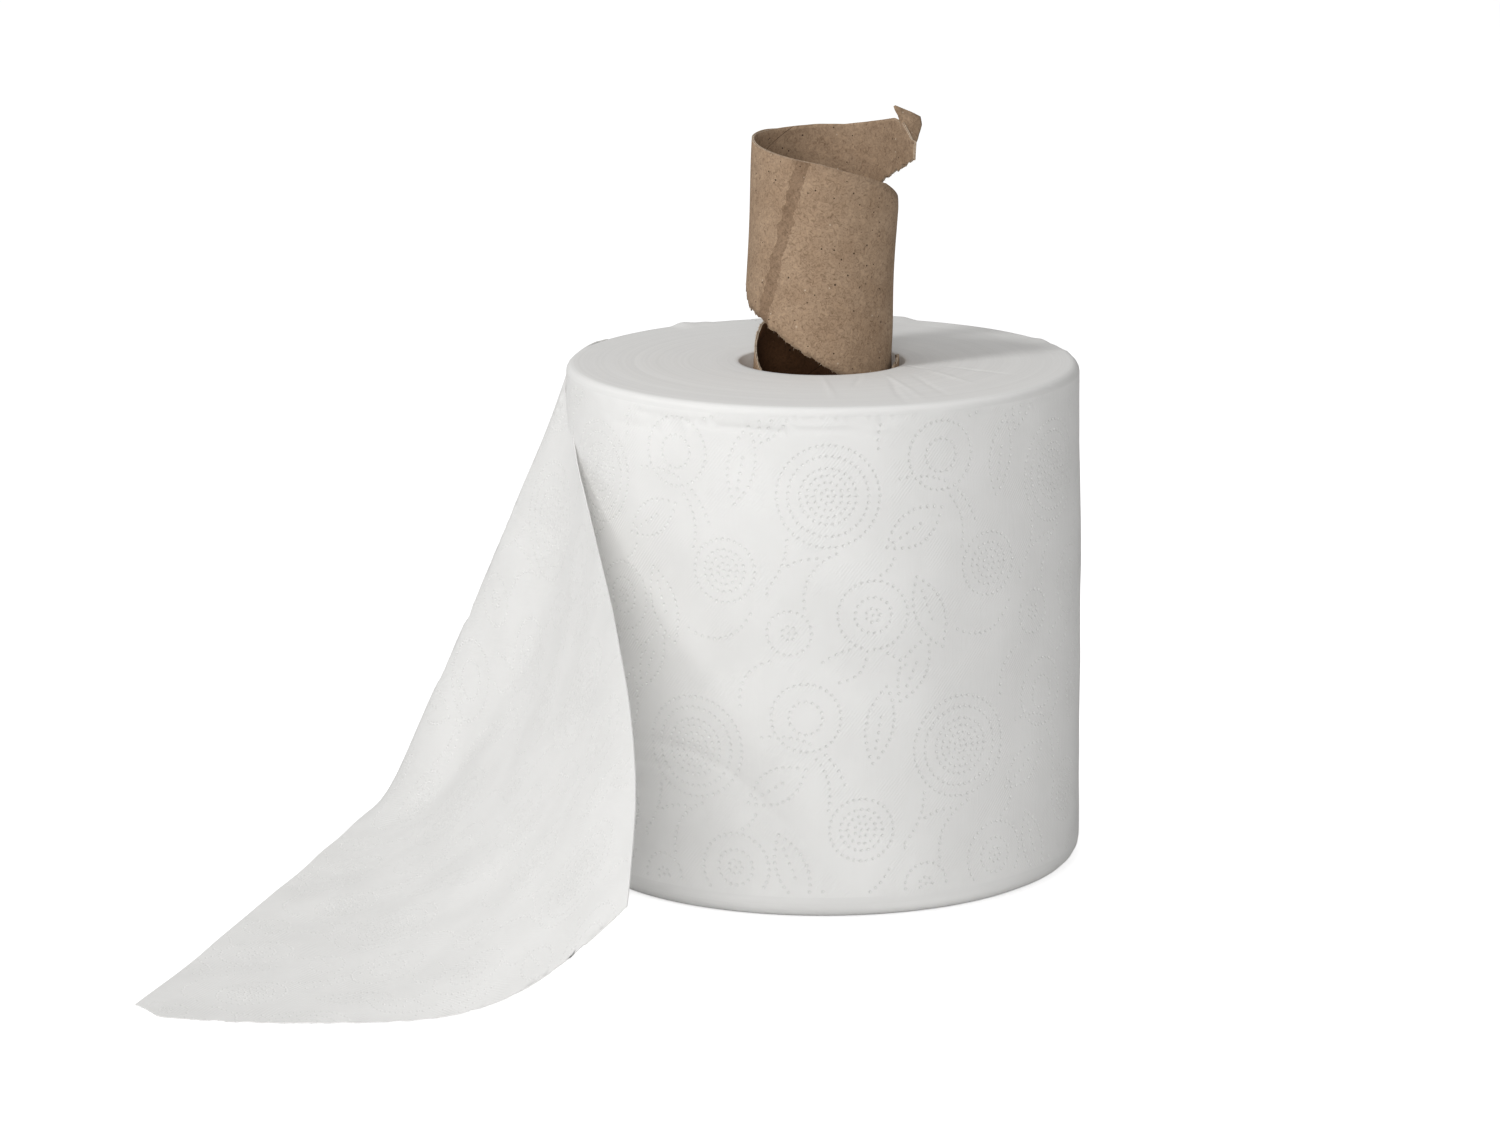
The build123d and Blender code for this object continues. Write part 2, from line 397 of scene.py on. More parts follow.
def emboss_dots(low, high, clear):
    """Dots of all the tiles on a stretch of the web, kept apart and clear of its edges."""
    tile = tile_dots()
    dots = []
    for column in range(-2, int(high[0] / tile_length) + 2):
        for row in range(-1, 3):
            shift = (column + (row % 2) / 2) * tile_length
            dots.append(tile + np.array([shift, row * tile_height]))
    dots = np.concatenate(dots)
    inside = np.all((dots > np.array(low) + clear) & (dots < np.array(high) - clear), axis=1)
    kept = []
    taken = {}
    for dot in dots[inside]:
        cell = (int(dot[0] // dot_pitch), int(dot[1] // dot_pitch))
        near = [other for i in (-1, 0, 1) for j in (-1, 0, 1)
                for other in taken.get((cell[0] + i, cell[1] + j), [])]
        if all(np.hypot(*(dot - other)) > dot_gap for other in near):
            taken.setdefault(cell, []).append(dot)
            kept.append(dot)
    return np.array(kept)


def embossed_net(low, high, border, spacing, fine_areas, plain):
    """Triangles over a stretch of the web with plain ends, and the dots' depth and tilt at each point."""
    dots = emboss_dots((low[0] + plain[0], low[1]), (high[0] - plain[1], high[1]), 1.4 * dot_radius)
    def grid(area_low, area_high, step):
        first = np.arange(area_low[0] + step, area_high[0] - step / 2, step)
        second = np.arange(area_low[1] + step, area_high[1] - step / 2, step)
        return np.stack(np.meshgrid(first, second, indexing="ij"), -1).reshape(-1, 2)
    middle = grid(low, high, spacing)
    for area_low, area_high in fine_areas:
        within = np.all((middle > np.array(area_low)) & (middle < np.array(area_high)), axis=1)
        middle = np.concatenate([middle[~within], grid(area_low, area_high, crease_grid)])
    cell = 2 * dot_radius
    crowded = set()
    for dot in dots:
        column, row = int(dot[0] // cell), int(dot[1] // cell)
        crowded |= {(column + i, row + j) for i in (-1, 0, 1) for j in (-1, 0, 1)}
    middle = np.array([p for p in middle if (int(p[0] // cell), int(p[1] // cell)) not in crowded])
    points = [np.array(border), middle]
    depths = [np.zeros(len(border) + len(middle))]
    tilts = [np.zeros((len(border) + len(middle), 2))]
    for share, count in dot_rings:
        ways = ways_at(np.arange(count) * tau / count)
        slope = 4 * dot_depth / dot_radius * share * (1 - share**2)
        points.append((dots[:, None, :] + ways[None] * dot_radius * share).reshape(-1, 2))
        depths.append(np.full(len(dots) * count, dot_depth * (1 - share**2)**2))
        tilts.append(np.tile(ways * slope, (len(dots), 1)))
    points = np.concatenate(points)
    result = delaunay_2d_cdt([Vector(p) for p in points], [], [], 0, 1e-7)
    order = np.array([source[0] for source in result[3]])
    place = np.argsort(order)[:len(border)]
    flat = np.array([tuple(v) for v in result[0]])
    faces = [tuple(f) for f in result[2]]
    return flat, np.concatenate(depths)[order], np.concatenate(tilts)[order], faces, place


def edge_loop(low, high, along_step, across_step):
    """Points round a stretch of the web, in order."""
    along = np.linspace(low[0], high[0], round((high[0] - low[0]) / along_step) + 1)
    across = np.linspace(low[1], high[1], round((high[1] - low[1]) / across_step) + 1)
    loop = [(a, low[1]) for a in along[:-1]] + [(high[0], c) for c in across[:-1]]
    return loop + [(a, high[1]) for a in along[:0:-1]] + [(low[0], c) for c in across[:0:-1]]


# Surfaces of the paper

def turn_at(along):
    """Turn in degrees at a length round the roll."""
    return along / roll_girth * 360


def roll_radius_at(turn):
    """Radius of the outer turn at an angle past the place where the web leaves, in degrees."""
    return roll_radius - step_depth * np.clip(1 - turn / step_reach, 0, 1)


def wall_relief(along, across):
    """Depth of the wall's creases and soft unevenness, faded out at the step."""
    creases = [([(turn / 360 * roll_girth, height * mm) for turn, height in line], depth, width)
               for line, depth, width in wall_creases]
    fade = smooth_step(along, 0, step_fade_after)
    fade = fade * smooth_step(along, roll_girth, roll_girth - step_fade_before)
    soft = waves(along, across, wall_waves) + wall_slack
    turn = turn_at(along)
    sag = low_swell * smooth_step(across, *low_swell_heights)
    sag = sag * smooth_step(turn, *low_swell_start) * smooth_step(turn, *low_swell_end)
    return crease_relief(along, across, creases) + soft * fade - sag


def heading_vector(angle):
    """Level unit vector at an angle in degrees."""
    return np.array([cos(radians(angle)), sin(radians(angle)), 0.0])


def level_circle(angle, radius):
    """Points on a circle about the roll's axis, at angles in radians."""
    return np.stack([radius * np.cos(angle), radius * np.sin(angle), 0 * angle], 1)


def wall_point(along, across):
    """Point of the roll's outer wall, at a length round it and a height."""
    turn = turn_at(along)
    radius = roll_radius_at(turn) - wall_relief(along, across)
    points = level_circle(np.radians(departure_angle + turn), radius)
    points[:, 2] = across
    return points


def rounded_corner(distance):
    """Way gone past a corner, started softly."""
    soft = (distance + bend_softness) ** 2 / (4 * bend_softness)
    return np.where(distance <= -bend_softness, 0, np.where(distance >= bend_softness, distance, soft))


def web_edges(along):
    """Bottom and top edge of the loose web at lengths past the place where it leaves the roll."""
    inner = roll_radius - web_inset
    start = heading_vector(departure_angle) * inner
    swing = heading_vector(departure_angle + 90)
    past = rounded_corner(along - swing_length)
    foot = start + swing * (along - past)[:, None] + heading_vector(lay_heading) * past[:, None]
    swing_share = np.clip(along / swing_length, -1, 1)
    lay_share = np.clip((along - swing_length) / lay_length, 0, 1)
    rising = np.clip(swing_share, 0, 1) ** 2
    foot[:, 2] = bend_lift * np.where(along < swing_length, rising, (1 - lay_share) ** bend_fall_power)
    foot[:, 2] += back_lift * (1 - smooth_step(along, back_lift_start, held_length))
    hug = np.radians(departure_angle) + rim_hug_length / roll_radius * swing_share
    top = level_circle(hug, inner)
    bow = 4 * lay_share * (1 - lay_share)
    wave = 10 * lay_share * (1 - lay_share) * (lay_share - 0.5) * top_edge_wave
    top = top + heading_vector(top_edge_heading) * (top_edge_run * lay_share)[:, None]
    top[:, 0] += top_edge_bow * bow + wave
    run = np.hypot(*(top - foot)[:, :2].T)
    hanging = np.clip(foot[:, 2], 0, bend_lift) + np.sqrt(np.maximum(roll_height**2 - run**2, 0))
    hanging = np.where(along < held_length, np.minimum(hanging, roll_height), hanging)
    corner_foot = start + swing * swing_length
    corner_top = heading_vector(departure_angle + np.degrees(rim_hug_length / roll_radius)) * inner
    corner_run = np.hypot(*(corner_top - corner_foot)[:2])
    corner_height = bend_lift + np.sqrt(roll_height**2 - corner_run**2)
    lying = corner_height + (top_corner_height - corner_height) * lay_share + top_edge_crown * bow + wave
    top[:, 2] = np.where(along < swing_length, hanging, lying)
    under = np.clip(-along / web_overlap, 0, 1)
    tucked = level_circle(np.radians(departure_angle) + along / roll_radius, inner - under_tuck * under)
    for edge in (foot, top):
        edge[:, :2] = np.where(along[:, None] < 0, tucked[:, :2], edge[:, :2])
    return foot, top


def web_point(along, across):
    """Point on the side of the loose web that lay against the roll, at a length and a width along it."""
    foot, top = web_edges(along)
    lay_share = np.clip((along - swing_length) / lay_length, 0, 1)
    level = (top - foot)[:, :2]
    run = np.hypot(*level.T)
    leaving = -heading_vector(departure_angle)[:2]
    way = np.where(run[:, None] > 0.5 * mm, level / np.maximum(run, 1e-9)[:, None], leaving)
    rise = (top - foot)[:, 2]
    lean = np.arctan2(rise, run)
    bend = smooth_step(lay_share, 0, bend_share)
    low_angle = lean * (1 - bend)
    high_angle = lean + radians(top_curl_angle) * bend
    third = roll_height / 3
    low_handle = third + (foot_handle_share * roll_height * lay_share**foot_handle_power - third) * bend
    high_handle = third + (roll_height * top_handle_share - third) * bend
    high = np.stack([run, rise], 1)
    low_pull = ways_at(low_angle) * low_handle[:, None]
    high_pull = high - ways_at(high_angle) * high_handle[:, None]
    steps = np.linspace(0, 1, 41)
    shares = (3 * steps * (1 - steps)**2, 3 * steps**2 * (1 - steps), steps**3)
    curve = sum(share[None, :, None] * pull[:, None, :]
                for share, pull in zip(shares, (low_pull, high_pull, high)))
    gone = np.hypot(*np.moveaxis(np.diff(curve, axis=1), 2, 0)).cumsum(1)
    gone = np.concatenate([np.zeros((len(gone), 1)), gone], 1)
    aim = across / roll_height * gone[:, -1]
    index = np.clip((gone < aim[:, None]).sum(1) - 1, 0, len(steps) - 2)
    rows = np.arange(len(aim))
    part = (aim - gone[rows, index]) / np.maximum(gone[rows, index + 1] - gone[rows, index], 1e-9)
    flat = curve[rows, index] * (1 - part)[:, None] + curve[rows, index + 1] * part[:, None]
    return np.concatenate([foot[:, :2] + way * flat[:, :1], foot[:, 2:] + flat[:, 1:]], 1)


def surface_frame(surface, along, across, step=0.3 * mm):
    """Normal of a surface and its two unit tangents, by small steps."""
    first = surface(along + step, across) - surface(along - step, across)
    second = surface(along, across + step) - surface(along, across - step)
    normal = np.cross(first, second)
    return [v / np.maximum(np.linalg.norm(v, axis=1), 1e-12)[:, None] for v in (normal, first, second)]


def soft_web_point(along, across):
    """Point on the loose web with its rounded corner, worn cut end, soft waves and turned-in top edge."""
    drawn_in = corner_cut * smooth_step(across, corner_round, 0)
    drawn_in = drawn_in * smooth_step(along, web_length - corner_length, web_length)
    near_cut = smooth_step(along, web_length - cut_waves_length, web_length)
    along = along - drawn_in + waves(across, 0 * across, cut_waves) * near_cut
    across = across + waves(along, 0 * along, [edge_waver]) * smooth_step(along, *edge_waver_start)
    normal = surface_frame(web_point, along, across, 0.5 * mm)[0]
    relief = waves(along, across, [web_waves]) + waves(along, across * web_rib_stretch, [web_ribs])
    points = web_point(along, across) + normal * (relief * smooth_step(along, *web_waves_start))[:, None]
    radius = np.hypot(points[:, 0], points[:, 1])
    over = np.clip((points[:, 2] - roll_height + top_rim_round) / top_rim_round, 0, 1)
    rim = roll_radius - web_inset - top_rim_round * (1 - np.sqrt(1 - over**2))
    pull = np.where((over > 0) & (radius > rim), rim / np.maximum(radius, 1e-9), 1)
    points[:, :2] *= pull[:, None]
    highest = roll_height - rim_drop + rim_rise * smooth_step(along, *rim_rise_start)
    points[:, 2] = np.clip(points[:, 2], floor_gap, highest)
    return points


def tilted(frame_ways, tilt):
    """Normals of dimples, from the ways of the surface and the slope of each point."""
    normal, first, second = frame_ways
    turned = normal - first * tilt[:, :1] - second * tilt[:, 1:]
    return turned / np.linalg.norm(turned, axis=1)[:, None]


def keep_normals(piece, smooth_count):
    """Lays the normals kept in "dimple" on the first faces; everything else keeps its own."""
    mesh = piece.data
    held = np.zeros(len(mesh.vertices) * 3, np.float32)
    mesh.attributes["dimple"].data.foreach_get("vector", held)
    held = held.reshape(-1, 3)
    plain = np.zeros(len(mesh.vertices) * 3, np.float32)
    mesh.vertex_normals.foreach_get("vector", plain)
    normals = np.where(np.linalg.norm(held, axis=1)[:, None] > 0.5, held, plain.reshape(-1, 3))
    mesh.attributes.remove(mesh.attributes["dimple"])
    corners = np.zeros(len(mesh.loops), int)
    mesh.loops.foreach_get("vertex_index", corners)
    normals = normals[corners]
    for polygon in mesh.polygons[smooth_count:]:
        normals[polygon.loop_start:polygon.loop_start + polygon.loop_total] = polygon.normal
    mesh.normals_split_custom_set(normals.tolist())


def hold_normals(piece, normals, depth):
    """Writes wanted normals to "dimple", zero where the mesh keeps its own, and depth shares to "pressed" for
    the dimples' painted shade.
    """
    layer = piece.data.attributes.new("dimple", "FLOAT_VECTOR", "POINT")
    layer.data.foreach_set("vector", np.asarray(normals, np.float32).ravel())
    layer = piece.data.attributes.new("pressed", "FLOAT", "POINT")
    layer.data.foreach_set("value", np.asarray(depth / dot_depth, np.float32))


# Finishes

def node_material(name):
    """New material with its shader, ready for a pattern."""
    material = bpy.data.materials.new(name)
    material.use_nodes = True
    return material, material.node_tree, material.node_tree.nodes["Principled BSDF"]


def finish_shader(tree, shader, colour, roughness, specular, normal):
    """Gives a shader its colour, gloss and bumps."""
    tree.links.new(colour, shader.inputs["Base Color"])
    tree.links.new(normal, shader.inputs["Normal"])
    shader.inputs["Roughness"].default_value = roughness
    shader.inputs["Specular IOR Level"].default_value = specular


def add_node(tree, kind, inputs=None, **settings):
    """New node with its settings and the values or links of its inputs."""
    node = tree.nodes.new(kind)
    for key, value in settings.items():
        setattr(node, key, value)
    for key, value in (inputs or {}).items():
        if isinstance(value, bpy.types.NodeSocket):
            tree.links.new(value, node.inputs[key])
        else:
            node.inputs[key].default_value = value
    return node


def object_place(tree):
    """Place on the object."""
    return add_node(tree, "ShaderNodeTexCoord").outputs["Object"]


def uv_place(tree, name):
    """Place on one of the UV maps."""
    return add_node(tree, "ShaderNodeUVMap", uv_map=name).outputs["UV"]


def math_node(tree, operation, first, second=0.0):
    """Result of a sum on numbers or links."""
    return add_node(tree, "ShaderNodeMath", {0: first, 1: second}, operation=operation).outputs[0]


def colour_ramp(tree, factor, stops):
    """Colour ramp over a factor, with its stops as place and colour."""
    ramp = add_node(tree, "ShaderNodeValToRGB", {"Fac": factor})
    elements = ramp.color_ramp.elements
    stops = list(stops)
    while len(elements) < len(stops):
        elements.new(0.5)
    for element, (place, colour) in zip(elements, stops):
        element.position = place
        element.color = (*colour, 1)
    return ramp.outputs["Color"]


def noise(tree, place, scale, detail=2.0, roughness=0.5, distortion=0.0):
    """Noise over a place, as a factor."""
    inputs = {"Vector": place, "Scale": scale, "Detail": detail,
              "Roughness": roughness, "Distortion": distortion}
    return add_node(tree, "ShaderNodeTexNoise", inputs).outputs["Fac"]


def mix_colour(tree, factor, first, second, blend="MIX"):
    """Two colours mixed by a factor."""
    colours = [(*colour, 1) if isinstance(colour, tuple) else colour for colour in (first, second)]
    inputs = {0: factor, 6: colours[0], 7: colours[1]}
    return add_node(tree, "ShaderNodeMix", inputs, data_type="RGBA", blend_type=blend).outputs[2]


def bump(tree, height, strength, distance, below=None):
    """Bump over an earlier one."""
    inputs = {"Height": height, "Strength": strength, "Distance": distance}
    if below is not None:
        inputs["Normal"] = below
    return add_node(tree, "ShaderNodeBump", inputs).outputs["Normal"]


def paper_material(name, hatch_height):
    """Soft two-ply paper: fibres, painted shade in the embossed dimples, crepe across the web and patches of
    fine slanted hatch.
    """
    material, tree, shader = node_material(name)
    place = object_place(tree)
    flat = uv_place(tree, "web")
    clouds = noise(tree, place, 40.0, 3.0)
    colour = colour_ramp(tree, clouds, zip((0.35, 0.65), paper_tones))
    # Painted shade on the walls of the embossed dimples, set by their depth share
    pressed = add_node(tree, "ShaderNodeAttribute", attribute_name="pressed").outputs["Fac"]
    dimple_painted_shade = colour_ramp(tree, pressed, [(0, (1, 1, 1)), (0.5, (0.93, 0.93, 0.93)), (1, (1, 1, 1))])
    colour = mix_colour(tree, 1.0, colour, dimple_painted_shade, "MULTIPLY")
    crepe_place = add_node(tree, "ShaderNodeMapping", {"Vector": flat, "Scale": (1, 0.14, 1)})
    crepe = noise(tree, crepe_place.outputs["Vector"], 520.0, 3.0, 0.55, 0.6)
    hatch_turn = (0, 0, radians(hatch_angle))
    hatch_place = add_node(tree, "ShaderNodeMapping", {"Vector": flat, "Rotation": hatch_turn})
    hatch = add_node(tree, "ShaderNodeTexWave", {"Vector": hatch_place.outputs["Vector"], "Scale": 300.0,
                                                "Distortion": 1.6, "Detail": 2.0, "Detail Scale": 0.6})
    patches = colour_ramp(tree, noise(tree, flat, 75.0), [(0.46, (0, 0, 0)), (0.6, (1, 1, 1))])
    hatched = math_node(tree, "MULTIPLY", hatch.outputs["Fac"], patches)
    normal = bump(tree, noise(tree, place, 1500.0, 4.0, 0.6), 0.5, 0.06 * mm)
    normal = bump(tree, crepe, 0.6, 0.12 * mm, normal)
    normal = bump(tree, hatched, 0.8, hatch_height, normal)
    finish_shader(tree, shader, colour, 0.92, 0.25, normal)
    shader.inputs["Sheen Weight"].default_value = 0.06
    return material


def wound_edge_material():
    """Cut edges of the wound turns: faint lines along the winding, and soft unevenness."""
    material, tree, shader = node_material("wound_edges")
    place = object_place(tree)
    flat = uv_place(tree, "web")
    parts = add_node(tree, "ShaderNodeSeparateXYZ", {"Vector": flat})
    drawn_out = math_node(tree, "MULTIPLY", parts.outputs["X"], 0.004)
    across = add_node(tree, "ShaderNodeCombineXYZ", {"X": parts.outputs["Y"], "Y": drawn_out})
    lines = noise(tree, across.outputs["Vector"], 900.0, 4.0, 0.6)
    mottle = noise(tree, place, 45.0, 4.0)
    colour = colour_ramp(tree, lines, zip((0.3, 0.62), wound_edge_tones))
    normal = bump(tree, lines, 0.35, 0.07 * mm)
    normal = bump(tree, mottle, 0.5, 0.5 * mm, normal)
    finish_shader(tree, shader, colour, 0.95, 0.2, normal)
    return material


def board_material(name, mark, lower_painted_shade=(1, 1, 1)):
    """Grey-brown recycled board: matted fibres, specks, one mark, and painted shade on the lower turns."""
    material, tree, shader = node_material(name)
    place = object_place(tree)
    clouds = noise(tree, place, 90.0, 3.0, 0.6)
    colour = colour_ramp(tree, clouds, zip((0.3, 0.7), board_tones))
    matted = noise(tree, place, 620.0, 6.0, 0.72, 1.4)
    fibre_stops = [(0.3, (0.54, 0.5, 0.46)), (0.5, (1, 1, 1)), (0.72, (1.36, 1.36, 1.34))]
    colour = mix_colour(tree, 1.0, colour, colour_ramp(tree, matted, fibre_stops), "MULTIPLY")
    for scale, limit, share, tone in board_specks:
        specks = add_node(tree, "ShaderNodeTexVoronoi", {"Vector": place, "Scale": scale})
        chance = add_node(tree, "ShaderNodeSeparateXYZ", {"Vector": specks.outputs["Color"]}).outputs["X"]
        size = math_node(tree, "MULTIPLY", chance, limit)
        inside = math_node(tree, "LESS_THAN", specks.outputs["Distance"], size)
        chosen = math_node(tree, "GREATER_THAN", chance, share)
        colour = mix_colour(tree, math_node(tree, "MULTIPLY", inside, chosen), colour, tone)
    parts = add_node(tree, "ShaderNodeSeparateXYZ", {"Vector": uv_place(tree, "strip")})
    along, height, slope, width, tone = mark
    drift = math_node(tree, "MULTIPLY", math_node(tree, "SUBTRACT", parts.outputs["Y"], height), slope)
    offset = math_node(tree, "SUBTRACT", math_node(tree, "SUBTRACT", parts.outputs["X"], along), drift)
    wobble = math_node(tree, "SUBTRACT", noise(tree, place, 260.0, 3.0), 0.5)
    wobble = math_node(tree, "MULTIPLY", wobble, width * 0.9)
    distance = math_node(tree, "ABSOLUTE", math_node(tree, "ADD", offset, wobble))
    inside = math_node(tree, "LESS_THAN", distance, width / 2)
    colour = mix_colour(tree, inside, colour, mix_colour(tree, 1.0, colour, tone, "MULTIPLY"))
    # Painted shade: the lower turns, deep inside the tube, are darkened in colour
    turns = math_node(tree, "DIVIDE", parts.outputs["X"], radians(strip_map_angle) * core_free_radius)
    lower = colour_ramp(tree, turns, [(0.48, (1, 1, 1)), (0.53, lower_painted_shade)])
    colour = mix_colour(tree, 1.0, colour, lower, "MULTIPLY")
    finish_shader(tree, shader, colour, 0.88, 0.25, bump(tree, matted, 0.6, 0.1 * mm))
    return material


def torn_material():
    """Torn edge of the board: paler, matted fibres."""
    material, tree, shader = node_material("torn_edge")
    place = object_place(tree)
    tone = noise(tree, place, 900.0, 4.0, 0.7)
    colour = colour_ramp(tree, tone, zip((0.35, 0.65), torn_tones))
    finish_shader(tree, shader, colour, 0.95, 0.15, bump(tree, tone, 0.8, 0.1 * mm))
    return material


# Pieces of paper

def end_profile():
    """Radius and height along the top rim, top face, hole, bottom face and bottom rim."""
    def rim(size, height, way):
        return [(roll_radius - size * (1 - cos(angle)), height + way * size * sin(angle))
                for angle in np.linspace(0, pi / 2, 6)]
    face_start = hole_radius + hole_rim_round
    top_face = [(radius, roll_height) for radius in np.linspace(roll_radius - top_rim_round, face_start, 38)]
    hole = [(hole_radius, height) for height in np.linspace(roll_height - hole_rim_round, hole_rim_round, 9)]
    bottom_face = [(radius, 0.0) for radius in np.linspace(face_start, roll_radius - bottom_rim_round, 14)]
    top_rim, bottom_rim = rim(top_rim_round, wall_high, 1), rim(bottom_rim_round, wall_low, -1)[::-1]
    return np.array(top_rim + top_face[1:] + hole + bottom_face[:-1] + bottom_rim)


def rim_inset(along, radius, height):
    """How far the step and the wall's relief draw the rims in."""
    rim_angle = np.arcsin(np.clip((height - wall_high) / top_rim_round, 0, 1))
    relief = wall_relief(along, np.where(height > wall_low, wall_high + rim_angle * top_rim_round, wall_low))
    outer_share = smooth_step(radius, roll_radius - step_width, roll_radius)
    step = (roll_radius - roll_radius_at(turn_at(along))) * outer_share
    top_share = smooth_step(radius, roll_radius - top_rim_round * 1.5, roll_radius)
    low_share = smooth_step(radius, roll_radius - bottom_rim_round * 2, roll_radius)
    return step + relief * np.where(height > roll_height / 2, top_share, low_share)


def top_sink(along, radius, height):
    """How far creases and winding lines sink the top face."""
    turn = turn_at(along)
    x, y = level_circle(np.radians(departure_angle + turn), radius)[:, :2].T
    creases = [([(a * mm, b * mm) for a, b in line], depth, width) for line, depth, width in top_creases]
    band = (radius - hole_radius) / winding_pitch - turn / 360
    lines = ripple(np.floor(band) + turn / 360, 0 * band, winding_wavelength, 5) + 1
    on_top = (height > roll_height - 1e-6) * smooth_step(radius, hole_radius, hole_radius + hole_plain_width)
    return on_top * (crease_relief(x, y, creases) + winding_unevenness * lines)


def worn_rim(along, radius, height):
    """How far the top rim stands up behind, where it is worn."""
    turn = turn_at(along)
    behind = sum(smooth_step(turn, start, full) * smooth_step(turn, gone, fading)
                 for start, full, fading, gone in back_rim_spans)
    proud = np.clip(waves(along, 0 * along, rim_waves), 0, 1.4)
    outside = smooth_step(radius, *back_rim_radii) * (height > wall_high)
    return back_rim_unevenness * proud * behind * outside


def roll_ends(columns, profile):
    """Lengths round the roll and points of its rims, end faces and hole, one profile after another."""
    along = np.repeat(columns, len(profile))
    radius, height = np.tile(profile, (len(columns), 1)).T
    angle = np.radians(departure_angle + turn_at(along))
    points = level_circle(angle, radius - rim_inset(along, radius, height))
    points[:, 2] = height - top_sink(along, radius, height) + worn_rim(along, radius, height)
    return along, points


def wound_roll(paper, edges):
    """The wound turns: the embossed outer wall, both end faces and the hole."""
    low, high = (0.0, wall_low), (roll_girth, wall_high)
    loop = edge_loop(low, high, roll_girth / roll_columns, wall_edge_step)
    fine_areas = [[(roll_girth * turn / 360, height) for turn, height in area]
                  for area in (rim_crease_area, low_crease_area)]
    plain = (0, web_overlap + 1 * mm)
    flat, depth, tilt, faces, _ = embossed_net(low, high, loop, wall_grid, fine_areas, plain)
    ways = surface_frame(wall_point, *flat.T)
    wall = wall_point(*flat.T) - ways[0] * depth[:, None]
    wall_faces = len(faces)
    columns = np.linspace(0, roll_girth, roll_columns + 1)
    profile = end_profile()
    along, ends = roll_ends(columns, profile)
    faces += grid_faces(len(columns), len(profile), len(wall))
    piece = mesh_piece("wound_roll", np.concatenate([wall, ends]), faces, [paper, edges])
    across = np.tile(profile[:, 0], len(columns))
    set_uv(piece, "web", np.concatenate([flat, np.stack([along, across], 1)]))
    for polygon in piece.data.polygons[wall_faces:]:
        polygon.material_index = 1
    normals = np.concatenate([tilted(ways, tilt), np.zeros_like(ends)])
    hold_normals(piece, normals, np.concatenate([depth, np.zeros(len(ends))]))
    close_roll(piece)
    keep_normals(piece, len(piece.data.polygons))
    return piece


def close_roll(piece):
    """Joins the wall to the ends, closes the step where the web leaves and turns faces outwards."""
    work = bmesh.new()
    work.from_mesh(piece.data)
    bmesh.ops.remove_doubles(work, verts=work.verts, dist=0.02 * mm)
    open_edges = [edge for edge in work.edges if edge.is_boundary]
    bmesh.ops.holes_fill(work, edges=open_edges, sides=0)
    bmesh.ops.triangulate(work, faces=[face for face in work.faces if len(face.verts) > 4])
    bmesh.ops.recalc_face_normals(work, faces=work.faces)
    work.to_mesh(piece.data)
    work.free()


def loose_turn(paper):
    """The loose outer turn: one embossed sheet from the back of the roll to its cut end."""
    low, high = (-web_overlap, 0.0), (web_length, roll_height)
    loop = edge_loop(low, high, *web_edge_steps)
    flat, depth, tilt, faces, border = embossed_net(low, high, loop, web_grid, [], (web_overlap + 5 * mm, 0))
    along, across = flat.T
    ways = surface_frame(soft_web_point, along, across)
    base = soft_web_point(along, across)
    inner = base - ways[0] * depth[:, None]
    outer = base + ways[0] * (web_thickness - depth)[:, None]
    inner[:, 2] = np.maximum(inner[:, 2], 0.05 * mm)
    outer[:, 2] = np.maximum(outer[:, 2], 0.4 * mm)
    normals = tilted(ways, tilt)
    count = len(flat)
    following = np.roll(border, -1)
    shell = [tuple(face) for face in faces] + [tuple(count + i for i in reversed(face)) for face in faces]
    shell += [(a, a + count, b + count, b) for a, b in zip(border, following)]
    piece = mesh_piece("loose_turn", np.concatenate([outer, inner]), shell, [paper])
    set_uv(piece, "web", np.concatenate([flat, flat]))
    hold_normals(piece, np.concatenate([normals, -normals]), np.concatenate([depth, depth]))
    keep_normals(piece, 2 * len(faces))
    return piece


# The torn core

def core_place(angle, height, radius):
    """Point on the core, which leans a little where it stands free."""
    shift = np.maximum(height - roll_height, 0) * core_lean
    shift = shift + core_shift * smooth_step(height, 160 * mm, roll_height)
    return np.stack([radius * np.cos(angle) + shift, radius * np.sin(angle), height], 1)


def strip_edges(angle):
    """Lower and upper edge of the torn strip at angles in degrees."""
    low = strip_start_height - strip_lead * angle / 360
    low = low + np.interp(angle, seam_lift_turns, seam_lift_heights) * mm
    flat_cut = strip_start_height * (1 + np.interp(angle / 360, edge_turn_shares, edge_rise_shares))
    torn = strip_start_height - strip_lead * (angle - 360) / 360 - strip_gap
    torn = np.maximum(torn, np.interp(angle, tongue_turns, tongue_heights) * mm)
    return np.maximum(low, strip_base_height), np.where(angle < 360, flat_cut, torn)


def strip_column(angle):
    """Number of the strip's column at an angle in degrees."""
    return round((angle - strip_start_angle) / strip_column_angle)


def strip_radius(height, angle):
    """Outer radius of the strip, narrower where it stands free, tucked in below and flared at its ear."""
    upper = 1 - smooth_step(angle, *upper_turns_end)
    neck = smooth_step(height, core_neck_low, core_neck_high) * upper
    tuck = smooth_step(angle, *tuck_turns) * neck
    flare = 1 - np.clip((angle - strip_start_angle) / ear_angle, 0, 1)
    free = core_outer_radius + (core_free_radius - core_outer_radius) * neck
    return free - tuck_depth * tuck + ear_flare * flare**2


def thicken(piece, thickness, offset):
    """Gives a sheet its thickness, with the second material on its edges."""
    body = piece.modifiers.new("thickness", "SOLIDIFY")
    body.thickness = thickness
    body.offset = offset
    body.material_offset_rim = 1


